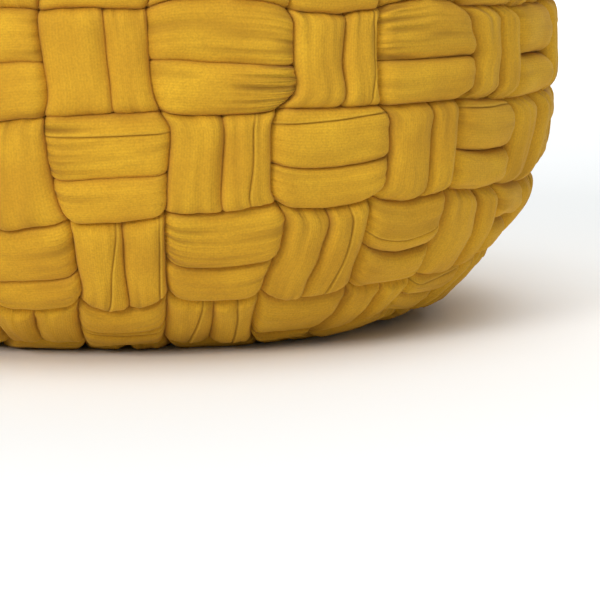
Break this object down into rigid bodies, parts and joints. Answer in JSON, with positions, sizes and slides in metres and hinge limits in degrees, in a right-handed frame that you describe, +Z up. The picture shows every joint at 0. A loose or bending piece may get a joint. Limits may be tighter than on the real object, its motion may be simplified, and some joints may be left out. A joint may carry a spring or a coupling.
{
  "type": "woven footstool",
  "caption": "Round stuffed footstool with a bulging side and a flat base, its skin a basket weave of paired jersey tubes.",
  "frame": {"origin": "middle of the flat base, on the floor", "axes": "+Z up from the base to the crown, -Y towards the front of the stool"},
  "size_m": [0.54, 0.5395, 0.35],
  "materials": {
    "cloth": "matt cotton jersey"
  },
  "bodies": {
    "root": {"woven_body": "cloth"}
  },
  "joints": []
}
